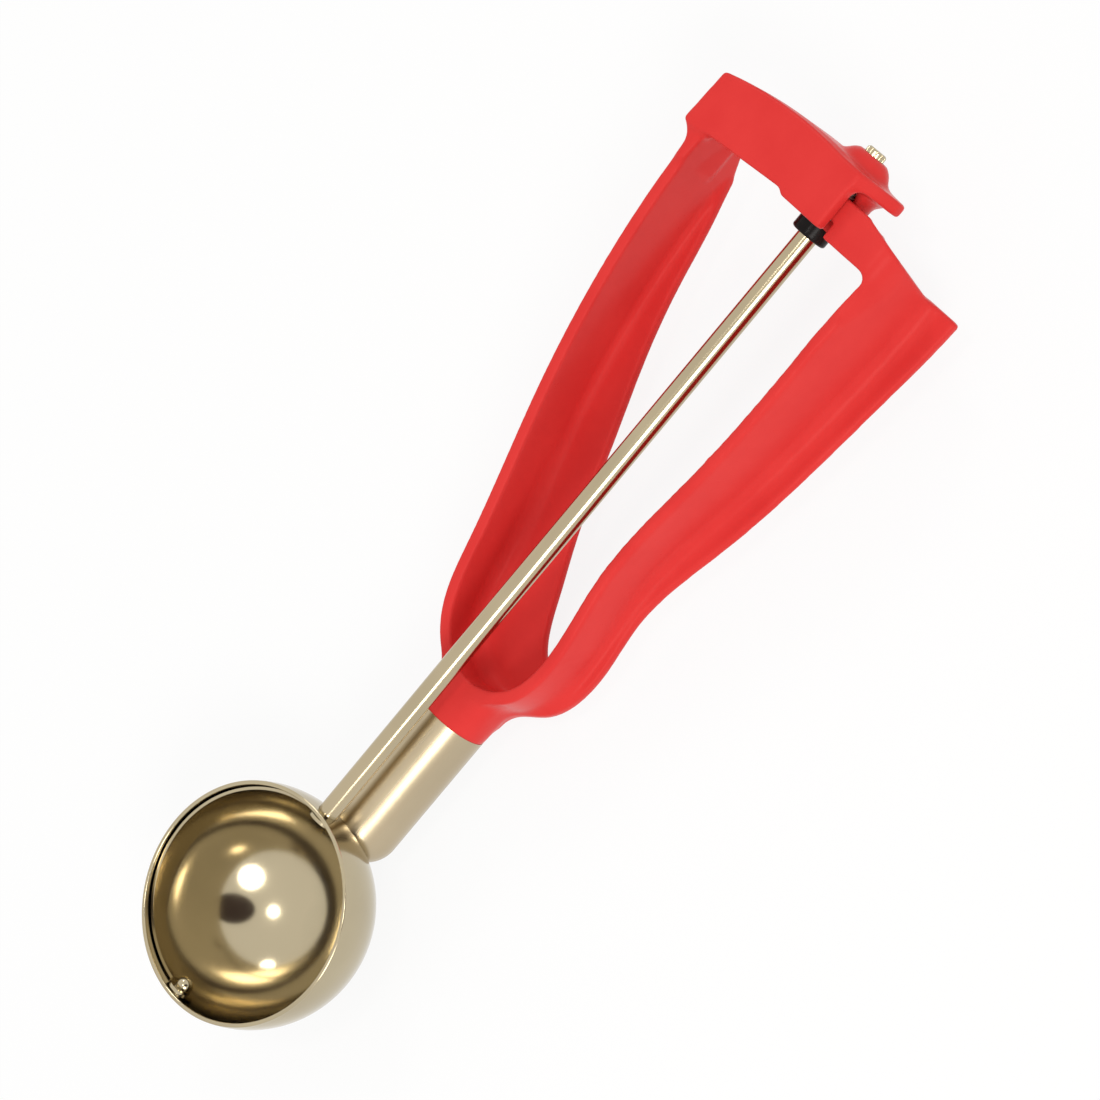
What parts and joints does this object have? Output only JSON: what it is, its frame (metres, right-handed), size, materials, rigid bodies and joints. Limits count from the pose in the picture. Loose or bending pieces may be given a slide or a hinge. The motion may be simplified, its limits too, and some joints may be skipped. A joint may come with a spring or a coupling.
{
  "type": "portion scoop",
  "caption": "Squeeze-handle portion scoop: steel bowl with a rotating scraper blade, spindle rod, and a red moulded handle whose sprung lever drives the spindle through a rack and pinion.",
  "frame": {"origin": "centre of the bowl's sphere, which lies on the spindle axis", "axes": "+X along the spindle from the bowl to the handle, +Z the way the bowl's mouth faces, +Y to the stiff arm's side"},
  "size_m": [0.2225, 0.0651, 0.0351],
  "materials": {
    "polished_steel": "polished",
    "red_plastic": "satin moulded",
    "black_plastic": "gloss",
    "gear_plastic": "natural"
  },
  "bodies": {
    "frame": {"bowl": "polished_steel", "shank_tube": "polished_steel", "pivot_rivet": "polished_steel", "stem_rivet": "polished_steel", "handle_frame": "red_plastic", "lower_bush": "black_plastic", "upper_bush": "black_plastic"},
    "spindle": {"spindle_rod": "polished_steel", "scraper_blade": "polished_steel", "pinion": "gear_plastic", "hub_pin": "polished_steel", "thrust_washer": "polished_steel"},
    "lever": {"squeeze_lever": "red_plastic"}
  },
  "joints": [
    {"name": "spindle_turn", "type": "hinge", "parent": "frame", "child": "spindle", "pos_m": [0, 0, 0], "axis": [-1, 0, 0], "range_deg": [0, 160]},
    {"name": "lever_squeeze", "type": "hinge", "parent": "frame", "child": "lever", "pos_m": [0.072, 0, 0], "axis": [0, 0, 1], "range_deg": [0, 5.73], "stiffness_Nm_per_rad": 4, "springref_deg": -3.44}
  ],
  "couplings": [
    {"joint": "spindle_turn", "follows": "lever_squeeze", "ratio": 27.9}
  ]
}
